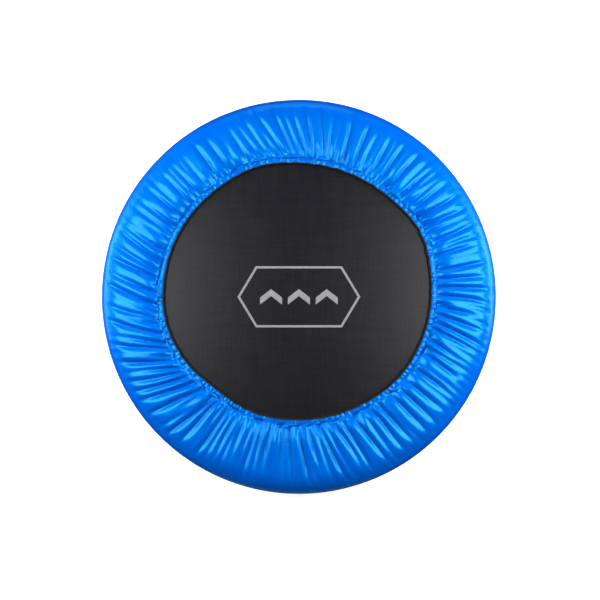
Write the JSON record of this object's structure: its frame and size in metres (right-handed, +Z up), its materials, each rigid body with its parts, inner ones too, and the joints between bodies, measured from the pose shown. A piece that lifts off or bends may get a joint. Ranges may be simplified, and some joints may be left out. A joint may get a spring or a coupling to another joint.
{
  "type": "mini trampoline",
  "caption": "Round mini trampoline with a woven jump mat on coil springs, a gathered vinyl spring cover and screw-on legs.",
  "frame": {"origin": "on the floor under the centre of the ring", "axes": "+Z up, square to the jump mat; +X through the first leg"},
  "size_m": [0.9663, 0.9664, 0.2185],
  "materials": {
    "frame_steel": "black powder coat, satin",
    "plated_steel": "zinc plated",
    "cover_vinyl": "glossy blue coated fabric, gathered",
    "mat_weave": "black woven polypropylene, slight sheen",
    "webbing": "black woven webbing",
    "elastic": "white knitted elastic",
    "black_plastic": "moulded, fine texture",
    "foot_rubber": "moulded rubber"
  },
  "bodies": {
    "frame": {"frame_ring": "frame_steel", "leg_studs": "plated_steel", "springs": "plated_steel", "safety_cover": "cover_vinyl", "inner_elastic": "elastic", "outer_elastic": "elastic", "saddle_1": "black_plastic", "saddle_2": "black_plastic", "saddle_3": "black_plastic", "saddle_4": "black_plastic", "saddle_5": "black_plastic", "saddle_6": "black_plastic"},
    "mat": {"jump_mat": "mat_weave", "edge_webbing": "webbing", "webbing_loops": "webbing", "v_rings": "plated_steel"},
    "leg_1": {"leg_tube_1": "frame_steel", "leg_plug_1": "black_plastic", "leg_nut_1": "plated_steel", "foot_1": "foot_rubber"},
    "leg_2": {"leg_tube_2": "frame_steel", "leg_plug_2": "black_plastic", "leg_nut_2": "plated_steel", "foot_2": "foot_rubber"},
    "leg_3": {"leg_tube_3": "frame_steel", "leg_plug_3": "black_plastic", "leg_nut_3": "plated_steel", "foot_3": "foot_rubber"},
    "leg_4": {"leg_tube_4": "frame_steel", "leg_plug_4": "black_plastic", "leg_nut_4": "plated_steel", "foot_4": "foot_rubber"},
    "leg_5": {"leg_tube_5": "frame_steel", "leg_plug_5": "black_plastic", "leg_nut_5": "plated_steel", "foot_5": "foot_rubber"},
    "leg_6": {"leg_tube_6": "frame_steel", "leg_plug_6": "black_plastic", "leg_nut_6": "plated_steel", "foot_6": "foot_rubber"}
  },
  "joints": [
    {"name": "mat_bounce", "type": "slide", "parent": "frame", "child": "mat", "axis": [0, 0, -1], "range_m": [0, 0.09], "stiffness_N_per_m": 9000, "deforming": ["springs"]},
    {"name": "leg_1_turn", "type": "hinge", "parent": "frame", "child": "leg_1", "pos_m": [0.4663, 0, 0.18], "axis": [0, 0, -1], "range_deg": [0, 2880]},
    {"name": "leg_2_turn", "type": "hinge", "parent": "frame", "child": "leg_2", "pos_m": [0.23315, 0.40383, 0.18], "axis": [0, 0, -1], "range_deg": [0, 2880]},
    {"name": "leg_3_turn", "type": "hinge", "parent": "frame", "child": "leg_3", "pos_m": [-0.23315, 0.40383, 0.18], "axis": [0, 0, -1], "range_deg": [0, 2880]},
    {"name": "leg_4_turn", "type": "hinge", "parent": "frame", "child": "leg_4", "pos_m": [-0.4663, 0, 0.18], "axis": [0, 0, -1], "range_deg": [0, 2880]},
    {"name": "leg_5_turn", "type": "hinge", "parent": "frame", "child": "leg_5", "pos_m": [-0.23315, -0.40383, 0.18], "axis": [0, 0, -1], "range_deg": [0, 2880]},
    {"name": "leg_6_turn", "type": "hinge", "parent": "frame", "child": "leg_6", "pos_m": [0.23315, -0.40383, 0.18], "axis": [0, 0, -1], "range_deg": [0, 2880]}
  ]
}
